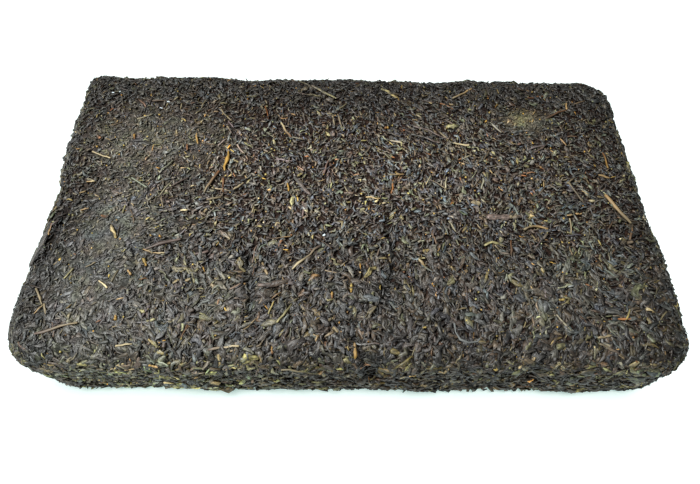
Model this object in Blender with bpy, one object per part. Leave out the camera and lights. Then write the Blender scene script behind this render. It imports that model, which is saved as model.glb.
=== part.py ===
"""A brick of pressed fu tea as one closed solid, in metres, +Z up.

In plan the brick is a rectangle whose four corners are worn to different roundings. The top rolls off into
the sides, the foot rolls in less far to a flat base, and the top sinks a little towards the edges, most of
all towards the far one. Pressing leaves the faces gently uneven, with a few dents and swellings along the
edges. The origin is the middle of the base, X runs along the length and Y across the width.
"""

import bmesh
import bpy
import numpy as np

# The brick's box
LENGTH = 0.350
WIDTH = 0.202
THICKNESS = 0.050

# Rounding of each corner in plan: its side of X, its side of Y, its radius
CORNERS = (
    (-1, 1, 0.012),
    (1, 1, 0.014),
    (1, -1, 0.022),
    (-1, -1, 0.024),
)

# The rolled edges: how far each reaches in from the side, and how far down or up the side. The foot is worn
# further in at the brick's left end than at its right.
TOP_ROLL_IN = 0.012
TOP_ROLL_DOWN = 0.0090
FOOT_ROLL_IN_LEFT = 0.011
FOOT_ROLL_IN_RIGHT = 0.005
FOOT_ROLL_UP = 0.005

# Where the top sinks towards an edge: which edge, in X and Y, width of the band, drop at the edge
SLUMPS = (
    (0, 1, 0.038, 0.0030),
    (1, 0, 0.028, 0.0020),
    (-1, 0, 0.018, 0.0012),
    (0, -1, 0.014, 0.0008),
)

# Uneven pressing: how many waves, shortest and longest wavelength, root mean square height, seed
BROAD_WAVES = (8, 0.045, 0.090, 0.00055, 11)
FINE_WAVES = (12, 0.016, 0.028, 0.00030, 12)
WAVES_FADE_UP = 0.010

# Dents, and swellings where the depth is below 0: place on the face, radius, depth along the normal
DENTS = (
    ((-0.175, 0.002, 0.042), 0.009, 0.0018),
    ((-0.175, 0.064, 0.041), 0.034, -0.0016),
    ((-0.175, -0.040, 0.040), 0.009, -0.0012),
    ((0.175, 0.006, 0.040), 0.008, 0.0016),
    ((0.175, 0.036, 0.041), 0.024, 0.0008),
    ((0.175, -0.060, 0.038), 0.020, -0.0014),
    ((0.168, 0.093, 0.042), 0.008, 0.0016),
    ((0.095, -0.101, 0.034), 0.012, 0.0014),
    ((0.011, -0.101, 0.040), 0.008, 0.0016),
    ((-0.058, -0.056, 0.050), 0.009, 0.0012),
    ((0.017, -0.045, 0.050), 0.010, 0.0012),
)

# Mesh spacing away from the rolled edges
CELL = 0.0068
ROLL_STEPS = 2
PROJECTION_STEPS = 8


def clear_scene():
    """Removes every object that the scene starts with."""
    for obj in list(bpy.data.objects):
        bpy.data.objects.remove(obj, do_unlink=True)


def stations(low, high, roll_low, roll_high):
    """Grid places from low to high: ROLL_STEPS cells over each roll, and about CELL between them."""
    middle = max(1, round((high - low - roll_low - roll_high) / CELL))
    first = np.linspace(low, low + roll_low, ROLL_STEPS + 1)
    last = np.linspace(high - roll_high, high, ROLL_STEPS + 1)
    between = np.linspace(first[-1], last[0], middle + 1)
    return np.concatenate([first, between[1:-1], last])


def gridded_box(places):
    """A closed box mesh whose grid lines lie at the given places along X, Y and Z."""
    bm = bmesh.new()
    bmesh.ops.create_cube(bm, size=1.0)
    for axis, along in enumerate(places):
        parallel = [e for e in bm.edges if abs(e.verts[0].co[axis] - e.verts[1].co[axis]) > 0.5]
        bmesh.ops.subdivide_edges(bm, edges=parallel, cuts=len(along) - 2, use_grid_fill=True)
    mesh = bpy.data.meshes.new("tea_brick")
    bm.to_mesh(mesh)
    bm.free()
    unit = read_points(mesh)
    spaced = [
        np.interp((unit[:, axis] + 0.5) * (len(along) - 1), np.arange(len(along)), along)
        for axis, along in enumerate(places)
    ]
    write_points(mesh, np.stack(spaced, axis=1))
    return mesh


def read_points(mesh):
    """The mesh's vertices as an array of rows X, Y, Z."""
    flat = np.empty(len(mesh.vertices) * 3, np.float32)
    mesh.vertices.foreach_get("co", flat)
    return flat.reshape(-1, 3).astype(np.float64)


def write_points(mesh, points):
    """Puts an array of rows X, Y, Z into the mesh's vertices."""
    mesh.vertices.foreach_set("co", points.astype(np.float32).ravel())
    mesh.update()


def plan_distance(x, y):
    """Signed distance in plan to the rounded rectangle, below 0 inside, and its gradient in X and Y."""
    radius = np.zeros_like(x)
    for side_x, side_y, rounding in CORNERS:
        radius = np.where((x * side_x >= 0) & (y * side_y >= 0), rounding, radius)
    qx = np.abs(x) - LENGTH / 2 + radius
    qy = np.abs(y) - WIDTH / 2 + radius
    reach = np.hypot(np.maximum(qx, 0), np.maximum(qy, 0))
    round_corner = (qx > 0) & (qy > 0)
    distance = np.where(round_corner, reach, np.maximum(qx, qy)) - radius
    across = np.maximum(reach, 1e-9)
    grad_x = np.where(round_corner, qx / across, np.where(qx > qy, 1.0, 0.0)) * np.sign(x)
    grad_y = np.where(round_corner, qy / across, np.where(qx > qy, 0.0, 1.0)) * np.sign(y)
    return distance, grad_x, grad_y


def rolled_form(points):
    """How far outside the rolled block each point is, as a ratio, and the gradient of that ratio.

    Across the roll, u is how far into its width the point lies and v how far into its height, each as a
    share. The face is where u and v lie on the unit circle, which makes the roll a quarter of an ellipse.
    """
    distance, grad_x, grad_y = plan_distance(points[:, 0], points[:, 1])
    upper = points[:, 2] > THICKNESS / 2
    ends = (-LENGTH / 2, LENGTH / 2)
    foot_roll_in = np.interp(points[:, 0], ends, (FOOT_ROLL_IN_LEFT, FOOT_ROLL_IN_RIGHT))
    roll_in = np.where(upper, TOP_ROLL_IN, foot_roll_in)
    roll_high = np.where(upper, TOP_ROLL_DOWN, FOOT_ROLL_UP)
    upward = np.where(upper, 1.0, -1.0)
    beyond = np.where(upper, points[:, 2] - THICKNESS, -points[:, 2])
    u = np.maximum(distance + roll_in, 0) / roll_in
    v = np.maximum(beyond + roll_high, 0) / roll_high
    ratio = np.maximum(np.hypot(u, v), 1e-9)
    slope = np.stack(
        [
            u / roll_in * grad_x / ratio,
            u / roll_in * grad_y / ratio,
            v / roll_high * upward / ratio,
        ],
        axis=1,
    )
    return ratio, slope


def onto_form(points):
    """Moves points onto the rolled block by Newton steps along the gradient; gives its normals too."""
    for _ in range(PROJECTION_STEPS):
        ratio, slope = rolled_form(points)
        steepness = np.maximum((slope**2).sum(axis=1), 1e-9)
        points = points - ((ratio - 1) / steepness)[:, None] * slope
    slope = rolled_form(points)[1]
    return points, slope / np.linalg.norm(slope, axis=1)[:, None]


def waves(points, count, shortest, longest, height, seed):
    """A sum of cosine waves in random directions, with the given root mean square height."""
    random = np.random.default_rng(seed)
    directions = random.normal(size=(count, 3))
    directions /= np.linalg.norm(directions, axis=1)[:, None]
    lengths = random.uniform(shortest, longest, count)
    phases = random.uniform(0, 2 * np.pi, count)
    angles = points @ (directions * (2 * np.pi / lengths)[:, None]).T + phases
    return height * np.sqrt(2 / count) * np.cos(angles).sum(axis=1)


def dents(points):
    """How far the dents press each point in along its normal: a Gaussian hollow round each one's place."""
    depth = np.zeros(len(points))
    for place, radius, deepest in DENTS:
        away = np.linalg.norm(points - np.array(place), axis=1)
        depth += deepest * np.exp(-((away / radius) ** 2))
    return depth


def slump(points):
    """How far the top has sunk at each place, growing as the square of the way into each edge's band."""
    drop = np.zeros(len(points))
    for edge_x, edge_y, band, deepest in SLUMPS:
        edge = LENGTH / 2 * abs(edge_x) + WIDTH / 2 * abs(edge_y)
        inside = edge - points[:, 0] * edge_x - points[:, 1] * edge_y
        drop += deepest * np.clip(1 - inside / band, 0, 1) ** 2
    return drop


def to_box(points):
    """Squeezes the points by a few per cent, so that their box is the brick's box."""
    low = points.min(axis=0)
    high = points.max(axis=0)
    size = np.array([LENGTH, WIDTH, THICKNESS])
    start = np.array([-LENGTH / 2, -WIDTH / 2, 0])
    return (points - low) / (high - low) * size + start


def shape_brick(mesh):
    """Turns the gridded box into the brick: roll the edges, press the faces uneven, sink the top."""
    points, normals = onto_form(read_points(mesh))
    rise = waves(points, *BROAD_WAVES) + waves(points, *FINE_WAVES) - dents(points)
    rise *= np.clip(points[:, 2] / WAVES_FADE_UP, 0, 1)
    points = points + rise[:, None] * normals
    points[:, 2] *= 1 - slump(points) / THICKNESS
    write_points(mesh, to_box(points))


def pressed_tea():
    """Dark, dull, slightly brown leaf."""
    material = bpy.data.materials.new("tea_leaf")
    material.use_nodes = True
    shader = material.node_tree.nodes["Principled BSDF"]
    shader.inputs["Base Color"].default_value = (0.075, 0.067, 0.055, 1.0)
    shader.inputs["Roughness"].default_value = 0.65
    shader.inputs["Metallic"].default_value = 0.0
    return material


def build():
    """Makes the brick in a collection of its own."""
    clear_scene()
    collection = bpy.data.collections.new("fu_brick_tea")
    bpy.context.scene.collection.children.link(collection)
    places = (
        stations(-LENGTH / 2, LENGTH / 2, TOP_ROLL_IN, TOP_ROLL_IN),
        stations(-WIDTH / 2, WIDTH / 2, TOP_ROLL_IN, TOP_ROLL_IN),
        stations(0, THICKNESS, FOOT_ROLL_UP, TOP_ROLL_DOWN),
    )
    mesh = gridded_box(places)
    shape_brick(mesh)
    mesh.shade_smooth()
    mesh.materials.append(pressed_tea())
    brick = bpy.data.objects.new("tea_brick", mesh)
    collection.objects.link(brick)


build()
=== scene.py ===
# %% [markdown]
# # A brick of pressed fu tea
#
# The real brick is dark tea that was steamed, filled into a mould and pressed until it held together. Close
# up it isn't one surface but a mat of tens of thousands of rolled leaves, flat flakes, wiry twists, broken
# stems and dust, all flattened towards the plane of the face that they lie in.
#
# A texture on a box would give the colours, but no shadows between the leaves and no ragged outline. So the
# leaves are made as real shapes, on a core that is a little smaller than the brick. Each kind of leaf is one
# mesh, worked out with numpy as whole arrays: a loop over every point would take minutes, and arrays take a
# fraction of a second.

# %% Load the fixed frame
import math

import bpy
import numpy as np
from mathutils import Matrix, Vector


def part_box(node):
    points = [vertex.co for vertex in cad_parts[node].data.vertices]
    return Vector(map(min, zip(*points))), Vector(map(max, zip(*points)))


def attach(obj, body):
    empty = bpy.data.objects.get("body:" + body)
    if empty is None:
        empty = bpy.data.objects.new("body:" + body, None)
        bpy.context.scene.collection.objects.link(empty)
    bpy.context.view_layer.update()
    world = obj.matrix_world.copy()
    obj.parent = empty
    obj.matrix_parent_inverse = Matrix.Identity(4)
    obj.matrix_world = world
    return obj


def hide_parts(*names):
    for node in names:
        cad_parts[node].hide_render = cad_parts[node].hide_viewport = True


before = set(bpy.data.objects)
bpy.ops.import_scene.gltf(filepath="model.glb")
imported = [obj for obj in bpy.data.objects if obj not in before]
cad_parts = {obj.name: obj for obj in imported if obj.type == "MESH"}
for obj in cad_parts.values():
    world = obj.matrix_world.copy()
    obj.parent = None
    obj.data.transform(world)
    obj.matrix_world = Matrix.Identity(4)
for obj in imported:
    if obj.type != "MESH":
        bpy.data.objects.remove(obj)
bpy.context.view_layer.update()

MM = 0.001
NODE = "tea_brick"
low_corner, high_corner = (np.array(corner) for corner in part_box(NODE))
LENGTH, WIDTH, THICKNESS = high_corner - low_corner
print("brick", np.round(high_corner - low_corner, 4), "m")

# %% [markdown]
# ## The camera
#
# The brick is seen from the front and well above, from about a forearm away. So near, a wide lens makes the
# close edge clearly longer than the far one, and the distance and the focal length matter as much as the
# angle. A camera looks along its own -Z, so it is tipped up from straight down, then turned, and its roll is
# applied first, about its own axis. An object shows only once it is linked into the scene, so one helper
# makes and links every object.

# %% Camera
def new_object(name, data):
    """An object that holds the data, linked into the scene."""
    made = bpy.data.objects.new(name, data)
    bpy.context.scene.collection.objects.link(made)
    return made


CAMERA_PLACE = (-4.7 * MM, -163.0 * MM, 290.0 * MM)
LOOK_DOWN = 1.0678
TURN = -0.0309
ROLL = 0.0380
LENS_MM = 26.14
SENSOR_MM = 36.0
NEAREST_SEEN = 10 * MM

camera_data = bpy.data.cameras.new("camera")
camera_data.lens = LENS_MM
camera_data.sensor_width = SENSOR_MM
camera_data.clip_start = NEAREST_SEEN
camera = new_object("camera", camera_data)
camera.matrix_world = (
    Matrix.Translation(CAMERA_PLACE)
    @ Matrix.Rotation(TURN, 4, "Z")
    @ Matrix.Rotation(math.pi / 2 - LOOK_DOWN, 4, "X")
    @ Matrix.Rotation(ROLL, 4, "Z")
)
bpy.context.scene.camera = camera
print("camera", [round(x, 3) for x in camera.location], "lens", LENS_MM, "mm")

# %% [markdown]
# ## The shape that the leaves lie on
#
# The leaves need to know where the brick's face is, and which way it faces, at any place. A form given by a
# formula answers that for a whole array of points at once: points near it are moved onto it by a few Newton
# steps, and the formula's gradient there is the normal. A search for the nearest face of a mesh would need
# one call for every point.
#
# The form is a rectangle in plan with four different corner roundings. Its top rolls off into the sides in a
# quarter ellipse and its foot rolls in to a flat base.

# %% The rolled block
CORNERS = (
    (-1, 1, 12 * MM),
    (1, 1, 14 * MM),
    (1, -1, 22 * MM),
    (-1, -1, 24 * MM),
)
TOP_ROLL_IN = 12 * MM
TOP_ROLL_DOWN = 9 * MM
FOOT_ROLL_IN_LEFT = 14 * MM
FOOT_ROLL_IN_RIGHT = 5 * MM
FOOT_ROLL_UP = 5 * MM
PROJECTION_STEPS = 6
TINY = 1e-9


def plan_distance(x, y):
    """Signed distance in plan to the rounded rectangle, and its gradient.

    Inside a corner's square it is the distance to the corner's centre less its rounding, and elsewhere the
    distance to the nearer side.
    """
    radius = np.zeros_like(x)
    for side_x, side_y, rounding in CORNERS:
        radius = np.where((x * side_x >= 0) & (y * side_y >= 0), rounding, radius)
    qx = np.abs(x) - LENGTH / 2 + radius
    qy = np.abs(y) - WIDTH / 2 + radius
    reach = np.hypot(np.maximum(qx, 0), np.maximum(qy, 0))
    in_corner = (qx > 0) & (qy > 0)
    distance = np.where(in_corner, reach, np.maximum(qx, qy)) - radius
    across = np.maximum(reach, TINY)
    grad_x = np.where(in_corner, qx / across, np.where(qx > qy, 1.0, 0.0)) * np.sign(x)
    grad_y = np.where(in_corner, qy / across, np.where(qx > qy, 0.0, 1.0)) * np.sign(y)
    return distance, grad_x, grad_y


def rolled_form(points):
    """The ratio that is 1 on the form, and its gradient.

    With u the share of the roll's width and v the share of its height at which a point lies, the ratio is
    the length of (u, v), so the roll is a quarter of an ellipse.
    """
    distance, grad_x, grad_y = plan_distance(points[:, 0], points[:, 1])
    upper = points[:, 2] > THICKNESS / 2
    ends = (-LENGTH / 2, LENGTH / 2)
    foot_roll_in = np.interp(points[:, 0], ends, (FOOT_ROLL_IN_LEFT, FOOT_ROLL_IN_RIGHT))
    roll_in = np.where(upper, TOP_ROLL_IN, foot_roll_in)
    roll_high = np.where(upper, TOP_ROLL_DOWN, FOOT_ROLL_UP)
    beyond = np.where(upper, points[:, 2] - THICKNESS, -points[:, 2])
    u = np.maximum(distance + roll_in, 0) / roll_in
    v = np.maximum(beyond + roll_high, 0) / roll_high
    ratio = np.maximum(np.hypot(u, v), TINY)
    steep_u = u / (roll_in * ratio)
    steep_v = np.where(upper, v, -v) / (roll_high * ratio)
    return ratio, np.stack([steep_u * grad_x, steep_u * grad_y, steep_v], axis=1)


def onto_form(points):
    """Newton steps down the gradient: how far the ratio is from 1, over the gradient's length."""
    for _ in range(PROJECTION_STEPS):
        ratio, slope = rolled_form(points)
        steepness = np.maximum((slope**2).sum(axis=1), TINY)
        points = points - ((ratio - 1) / steepness)[:, None] * slope
    slope = rolled_form(points)[1]
    return points, slope / np.linalg.norm(slope, axis=1)[:, None]


print("corner roundings", [round(corner[2] / MM) for corner in CORNERS], "mm")


# %% [markdown]
# ## Pressed uneven
#
# No mould fills evenly. Two sets of waves make the faces gently lumpy, a few dents and swellings break the
# edges, and the top sinks towards its edges, where less tea was packed. A sum of cosines in random
# directions is smooth, cheap on arrays, and the same in every run, because its seed is fixed.
#
# A row of dents holds a middle and a radius in millimetres, and how deep the dent is there. A depth below
# zero is a swelling. A dent falls off as a Gaussian. So do the worn places, tones and streams further on, so
# that is a function of its own.

# %% Waves, dents and slumps
BROAD_WAVES = (8, 45 * MM, 90 * MM, 0.55 * MM, 11)
FINE_WAVES = (12, 16 * MM, 28 * MM, 0.30 * MM, 12)
WAVES_FADE_UP = 10 * MM
DENTS = (
    ((-175, 2, 42), 9, 1.8),
    ((-175, 64, 41), 34, -1.6),
    ((-175, -40, 40), 9, -1.2),
    ((175, 6, 40), 8, 2.6),
    ((176, -46, 42), 5, 2.2),
    ((175, 36, 41), 24, 0.8),
    ((175, -60, 38), 20, -1.4),
    ((168, 93, 42), 8, 1.6),
    ((95, -101, 34), 12, 1.4),
    ((11, -101, 40), 8, 1.6),
    ((-18, -101, 10), 16, -1.2),
    ((-167, -93, 14), 18, 4.0),
    ((-174, 88, 44), 16, -2.0),
    ((-173, -72, 44), 11, -1.6),
    ((-58, -56, 50), 9, 1.2),
    ((17, -45, 50), 10, 1.2),
)
SLUMPS = (
    (0, 1, 38 * MM, 3.0 * MM),
    (1, 0, 28 * MM, 2.0 * MM),
    (-1, 0, 18 * MM, 1.2 * MM),
    (0, -1, 14 * MM, 0.8 * MM),
)


def nearness(points, middle, radii):
    """1 at a middle, falling off all round: e to the power of minus the squared distance in radii.

    Middle and radii are in millimetres. Where they have no Z, the height of a point makes no difference.
    """
    away = (points[:, : len(middle)] / MM - np.array(middle)) / np.array(radii)
    return np.exp(-(away**2).sum(axis=1))


def waves(points, count, shortest, longest, height, seed):
    """A sum of cosine waves in random directions, with the given root mean square height."""
    random = np.random.default_rng(seed)
    directions = random.normal(size=(count, 3))
    directions /= np.linalg.norm(directions, axis=1)[:, None]
    lengths = random.uniform(shortest, longest, count)
    phases = random.uniform(0, 2 * np.pi, count)
    angles = points @ (directions * (2 * np.pi / lengths)[:, None]).T + phases
    return height * np.sqrt(2 / count) * np.cos(angles).sum(axis=1)


def unevenness(points):
    """How far the pressed face stands out from the form: the waves, less a Gaussian hollow for each dent."""
    rise = waves(points, *BROAD_WAVES) + waves(points, *FINE_WAVES)
    for middle, radius, depth in DENTS:
        rise -= depth * MM * nearness(points, middle, radius)
    return rise * np.clip(points[:, 2] / WAVES_FADE_UP, 0, 1)


def sunk(points):
    """Lowers the top by a drop that grows as the square of the way into each edge's band."""
    drop = np.zeros(len(points))
    for edge_x, edge_y, band, deepest in SLUMPS:
        edge = LENGTH / 2 * abs(edge_x) + WIDTH / 2 * abs(edge_y)
        inside = edge - points[:, 0] * edge_x - points[:, 1] * edge_y
        drop += deepest * np.clip(1 - inside / band, 0, 1) ** 2
    lowered = points.copy()
    lowered[:, 2] *= 1 - drop / THICKNESS
    return lowered


print(len(DENTS), "dents and swellings")


# %% [markdown]
# ## Cracks, pits and worn places
#
# The brick also has its marks. A crack is a narrow valley between two ends, and a pit a small round one: the
# rows hold their ends or middle, half width or radius, and depth, in millimetres. Worn places are where the
# leaf was pressed into a smooth paste, so that it lies flatter and in smaller bits there. Their rows hold a
# middle, two radii and how worn the middle is, from 0 to 1.

# %% Cracks, pits and worn places
CRACKS = (
    ((-57, -40), (-52, -64), 2.4, 3.0),
    ((-52, -64), (-52, -80), 2.2, 1.8),
    ((22, -8), (20, -22), 1.4, 2.0),
    ((20, -22), (24, -35), 1.6, 2.4),
    ((24, -35), (21, -52), 1.7, 2.6),
    ((21, -52), (17, -62), 2.8, 3.0),
    ((17, -62), (14, -72), 2.0, 2.2),
    ((2, -84), (8, -100), 3.0, 2.8),
    ((-161, -10), (-164, -27), 1.7, 3.0),
    ((-164, -27), (-167, -46), 2.0, 3.6),
    ((-118, -36), (-114, -52), 1.2, 1.8),
)
PITS = (
    ((18, -62), 4.5, 2.4),
    ((2, -84), 3.5, 2.6),
    ((95, -98), 5.0, 2.4),
    ((12, -100), 5.0, 2.4),
    ((-97, 12), 3.0, 1.4),
    ((-86, 22), 3.0, 1.4),
)
WORN = (
    ((-136, -30), (24, 34), 1.0),
    ((-136, -58), (40, 50), 1.0),
    ((-130, 42), (44, 34), 0.5),
    ((-70, -62), (26, 20), 0.4),
    ((-69, -67), (10, 8), 0.9),
    ((-73, -48), (6, 6), 0.8),
    ((-142, -90), (28, 10), 0.9),
    ((99, -71), (6, 9), 0.6),
    ((112, 62), (14, 10), 0.8),
)
WORN_BASE = 0.5
WORN_UP_TO = 1.5 * MM


def marks(points):
    """How deep the cracks and pits are at each point: a Gaussian of its distance from each one."""
    depth = np.zeros(len(points))
    flat = points[:, :2] / MM
    on_top = points[:, 2] > THICKNESS / 2
    for start, end, half_width, deep in CRACKS:
        start, run = np.array(start), np.subtract(end, start)
        share = np.clip((flat - start) @ run / (run @ run), 0, 1)
        away = np.linalg.norm(flat - start - share[:, None] * run, axis=1)
        depth = np.maximum(depth, deep * np.exp(-((away / half_width) ** 2)))
    for middle, radius, deep in PITS:
        depth = np.maximum(depth, deep * nearness(points, middle, radius))
    return depth * MM * on_top


def worn(points):
    """How far the leaf is pressed smooth, from 0 to 1: a Gaussian round the middle of each worn place.

    The base was pressed on the mould's floor, so it is worn all over, fading out just above the floor.
    """
    share = np.zeros(len(points))
    for middle, radii, most in WORN:
        share = np.maximum(share, most * nearness(points, middle, radii))
    share *= points[:, 2] > THICKNESS / 2
    return np.maximum(share, WORN_BASE * np.clip(1 - points[:, 2] / WORN_UP_TO, 0, 1))


print(len(CRACKS), "cracks,", len(PITS), "pits,", len(WORN), "worn places")


# %% [markdown]
# ## A grid over the whole form
#
# The core, the size of the form and the places of the leaves all start from the six faces of a box. A face
# is a corner and two edges, and any place on it is the corner plus a share of each edge. The core's faces
# use the same shares along the edges that they have in common, so merging equal points closes it.

# %% The six faces, and the form's own box
HALF_X, HALF_Y = LENGTH / 2, WIDTH / 2
ALONG_X, ALONG_Y, ALONG_Z = np.diag([LENGTH, WIDTH, THICKNESS])
FACES = {
    "top": (np.array([-HALF_X, -HALF_Y, THICKNESS]), ALONG_X, ALONG_Y),
    "base": (np.array([-HALF_X, -HALF_Y, 0]), ALONG_Y, ALONG_X),
    "front": (np.array([-HALF_X, -HALF_Y, 0]), ALONG_X, ALONG_Z),
    "back": (np.array([-HALF_X, HALF_Y, 0]), ALONG_Z, ALONG_X),
    "left": (np.array([-HALF_X, -HALF_Y, 0]), ALONG_Z, ALONG_Y),
    "right": (np.array([HALF_X, -HALF_Y, 0]), ALONG_Y, ALONG_Z),
}


def on_face(name, first, second):
    """Places on a box face: its corner, plus the first share of one edge and the second of the other."""
    corner, one, other = FACES[name]
    return corner + first[..., None] * one + second[..., None] * other


def cells(name, spacing):
    """How many cells of about this spacing fit along each edge of a face."""
    return [max(1, round(np.linalg.norm(edge) / spacing)) for edge in FACES[name][1:]]


def face_grid(name, spacing):
    """A grid of places over one face, with its two counts of cells."""
    across, up = cells(name, spacing)
    first, second = np.meshgrid(np.linspace(0, 1, across + 1), np.linspace(0, 1, up + 1), indexing="ij")
    return on_face(name, first, second), across, up


SURVEY_SPACING = 3 * MM


def raw_brick(points):
    """The uneven face before it is squeezed into the brick's box."""
    placed, normals = onto_form(points)
    return sunk(placed + unevenness(placed)[:, None] * normals)


survey = np.concatenate([face_grid(name, SURVEY_SPACING)[0].reshape(-1, 3) for name in FACES])
survey = raw_brick(survey)
FORM_LOW, FORM_HIGH = survey.min(axis=0), survey.max(axis=0)


def settled(points):
    """Sinks the top and squeezes the form by a few per cent, so that its box is the brick's own box."""
    share = (sunk(points) - FORM_LOW) / (FORM_HIGH - FORM_LOW)
    return low_corner + share * (high_corner - low_corner)


print("form before squeezing", np.round(FORM_HIGH - FORM_LOW, 4), "m")

# %% [markdown]
# ## Arrays into meshes
#
# Every piece ends here: points, faces of four, faces of three, a colour for each point and, on leaves, each
# point's place along the leaf. foreach_set copies a whole array into the mesh in one call, where adding
# points one by one would take minutes.

# %% Mesh helper
LEAF_MAP = "along_leaf"
TINT = "tint"


def new_piece(name, points, quads, triangles, tints, along_leaf=None):
    """A mesh object from arrays, smooth shaded, with a colour and a place along the leaf for each point."""
    mesh = bpy.data.meshes.new(name)
    corners = np.concatenate([quads.ravel(), triangles.ravel()]).astype(np.int32)
    sizes = np.repeat([4, 3], [len(quads), len(triangles)])
    mesh.vertices.add(len(points))
    mesh.vertices.foreach_set("co", points.astype(np.float32).ravel())
    mesh.loops.add(len(corners))
    mesh.loops.foreach_set("vertex_index", corners)
    mesh.polygons.add(len(sizes))
    mesh.polygons.foreach_set("loop_start", (np.cumsum(sizes) - sizes).astype(np.int32))
    mesh.update(calc_edges=True)
    colours = mesh.color_attributes.new(TINT, "FLOAT_COLOR", "POINT")
    colours.data.foreach_set("color", np.insert(tints, 3, 1.0, axis=1).astype(np.float32).ravel())
    if along_leaf is not None:
        layer = mesh.uv_layers.new(name=LEAF_MAP)
        layer.data.foreach_set("uv", along_leaf[corners].astype(np.float32).ravel())
    mesh.shade_smooth()
    mesh.validate()
    print(f"{name}: {2 * len(quads) + len(triangles)} triangles")
    return new_object(name, mesh)


# %% [markdown]
# ## The colours of the tea
#
# Fermented leaf runs from blue-black to grey-brown, with olive and tan among it, and stems and tips are
# paler and warmer. Each leaf draws one colour of this palette, given as linear red, green and blue.

# %% Palette
COLOURS = {
    "charcoal": (0.0354, 0.0302, 0.0252),
    "soot": (0.017, 0.014, 0.011),
    "umber": (0.053, 0.0395, 0.027),
    "slate": (0.060, 0.059, 0.053),
    "olive": (0.088, 0.078, 0.038),
    "drab": (0.118, 0.105, 0.068),
    "tan": (0.190, 0.152, 0.090),
    "honey": (0.300, 0.194, 0.083),
    "straw": (0.420, 0.345, 0.200),
    "rust": (0.150, 0.070, 0.030),
    "gold": (0.265, 0.194, 0.056),
    "amber": (0.280, 0.165, 0.036),
    "moss": (0.100, 0.098, 0.042),
    "hay": (0.235, 0.208, 0.095),
    "mauve": (0.100, 0.072, 0.060),
    "silver": (0.150, 0.158, 0.155),
    "steel": (0.072, 0.079, 0.083),
    # A painted glint: pale bluish white, for tiny sparkles of light.
    "frost": (0.560, 0.640, 0.680),
}
print(len(COLOURS), "colours")

# %% [markdown]
# ## Paler and darker places
#
# The place where a leaf lies tones its colour, and much of that is painted light and shade. The middle of
# the top and its far left are painted paler, as lit by the lamp. The far strip, the two sides, the corners,
# the front edge of the top and the top round the cracks are painted darker, as shade where the face turns
# away or sinks, and a band along the crack at the left is painted dark as the shadow under the leaf that
# lifts there. The front face is paler and grey-green at the left and brown to the right, part its own colour
# and part painted light from the lamp at the left. Small pale and yellow patches are the tea's own colour.
# A tone is a middle and three radii in millimetres, and a factor for each of red, green and blue. Cosine
# waves, as in the form, add soft patches of brightness and hue.

# %% Tones
# Rows for the far strip, the middle, the far left, the sides, the left crack, the corners and the edges paint
# light and shade; the front rows are part colour, part painted light; the small patches are colour.
TONES_AND_PAINTED_LIGHT = (
    ((0, 88, 46), (400, 26, 60), (0.31, 0.28, 0.24)),
    ((14, 77, 50), (22, 12, 20), (0.70, 0.70, 0.74)),
    ((0, 18, 50), (150, 48, 30), (2.47, 2.57, 2.67)),
    ((-125, 44, 50), (50, 36, 30), (1.27, 1.21, 1.10)),
    ((175, 10, 40), (24, 160, 60), (0.44, 0.42, 0.38)),
    ((-175, -10, 40), (24, 160, 60), (0.31, 0.30, 0.29)),
    ((-163, -48, 48), (9, 30, 20), (0.56, 0.54, 0.53)),
    ((-158, -20, 50), (11, 45, 14), (0.86, 0.85, 0.84)),
    ((-150, -96, 48), (16, 9, 12), (0.60, 0.62, 0.68)),
    ((158, -87, 48), (13, 13, 20), (0.62, 0.58, 0.50)),
    ((158, 10, 48), (11, 15, 20), (0.68, 0.66, 0.70)),
    ((25, -72, 50), (62, 36, 16), (0.66, 0.64, 0.62)),
    ((-50, -50, 50), (7, 11, 12), (0.76, 0.74, 0.72)),
    ((-70, -95, 49), (130, 5, 3), (0.50, 0.50, 0.46)),
    ((-120, -101, 22), (75, 7, 26), (3.22, 3.40, 2.95)),
    ((10, -101, 26), (60, 10, 26), (0.82, 0.66, 0.47)),
    ((100, -101, 16), (60, 10, 26), (1.06, 0.88, 0.61)),
    ((98, -97, 47), (60, 11, 13), (0.80, 0.75, 0.68)),
    ((110, 62, 50), (12, 9, 12), (2.80, 2.62, 1.85)),
    ((65, 46, 50), (10, 12, 12), (1.50, 1.50, 1.32)),
    ((-81, 25, 50), (10, 10, 12), (1.50, 1.42, 1.26)),
    ((99, -71, 50), (8, 11, 12), (1.80, 1.85, 1.70)),
    ((-69, -63, 50), (10, 15, 12), (1.58, 1.58, 1.44)),
    ((27, -72, 50), (9, 8, 12), (1.50, 1.55, 1.50)),
    ((38, -41, 50), (8, 8, 12), (1.42, 1.46, 1.44)),
    ((-5, -23, 50), (8, 8, 12), (1.34, 1.38, 1.36)),
    ((124, -46, 50), (12, 12, 12), (1.38, 1.48, 1.28)),
    ((131, -22, 50), (10, 10, 12), (1.28, 1.42, 1.42)),
    ((72, -3, 50), (6, 6, 12), (1.38, 1.40, 1.36)),
)
PATCHES = (10, 18 * MM, 50 * MM, 0.08, 41)
WARM_PATCHES = (16, 7 * MM, 24 * MM, 0.055, 42)
WARM_CHANNELS = (0.6, 0.0, -1.0)
GREEN_PATCHES = (16, 5 * MM, 16 * MM, 0.022, 43)
GREEN_CHANNELS = (-1.0, 1.0, -1.0)


def tone(places):
    """A factor for each colour channel.

    It is e to the power of the patches' waves, times a Gaussian blend towards each tone round its middle.
    """
    # Most tones paint light and shade. The waves are colour patches.
    warm = waves(places, *WARM_PATCHES)[:, None] * np.array(WARM_CHANNELS)
    green = waves(places, *GREEN_PATCHES)[:, None] * np.array(GREEN_CHANNELS)
    factor = np.exp(waves(places, *PATCHES)[:, None] + warm + green)
    for middle, radii, channels in TONES_AND_PAINTED_LIGHT:
        factor *= 1 + nearness(places, middle, radii)[:, None] * (np.array(channels) - 1)
    return factor


print(len(TONES_AND_PAINTED_LIGHT), "tones")
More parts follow.
